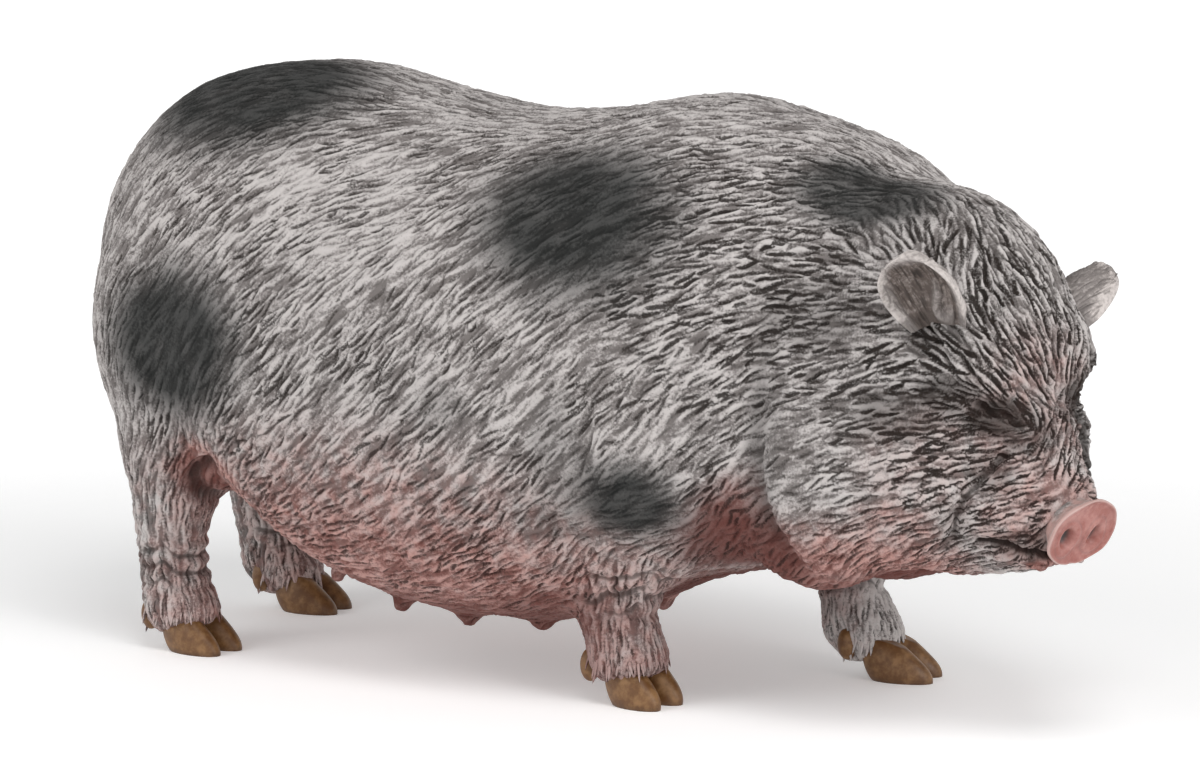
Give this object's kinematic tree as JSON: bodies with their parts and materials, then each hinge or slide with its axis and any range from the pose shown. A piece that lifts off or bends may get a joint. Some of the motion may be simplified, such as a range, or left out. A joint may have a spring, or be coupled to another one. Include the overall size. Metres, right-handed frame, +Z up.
{
  "type": "pot-bellied pig toy figure",
  "caption": "Solid moulded toy figure of a standing pot-bellied pig with a swayed back, its head low and turned to its right.",
  "frame": {"origin": "on the floor under the middle of the figure's box", "axes": "+X towards the snout, +Y to the pig's left, +Z up"},
  "size_m": [0.0962, 0.0398, 0.049],
  "materials": {
    "hide": "grey and pink painted vinyl with sculpted hair grooves and a dark wash",
    "snout": "pink painted vinyl with a grey rim",
    "hoof": "semi-matt ochre paint",
    "eye": "gloss black paint"
  },
  "bodies": {
    "root": {"dewclaw_front_left_inner": "hoof", "dewclaw_front_left_outer": "hoof", "dewclaw_front_right_inner": "hoof", "dewclaw_front_right_outer": "hoof", "dewclaw_hind_left_inner": "hoof", "dewclaw_hind_left_outer": "hoof", "dewclaw_hind_right_inner": "hoof", "dewclaw_hind_right_outer": "hoof", "ear_left": "hide", "ear_right": "hide", "eye_left": "eye", "eye_right": "eye", "head": "hide", "hoof_front_left_inner": "hoof", "hoof_front_left_outer": "hoof", "hoof_front_right_inner": "hoof", "hoof_front_right_outer": "hoof", "hoof_hind_left_inner": "hoof", "hoof_hind_left_outer": "hoof", "hoof_hind_right_inner": "hoof", "hoof_hind_right_outer": "hoof", "jaw": "hide", "leg_front_left": "hide", "leg_front_right": "hide", "leg_hind_left": "hide", "leg_hind_right": "hide", "neck": "hide", "snout_disc": "snout", "tail": "hide", "trunk": "hide"}
  },
  "joints": []
}
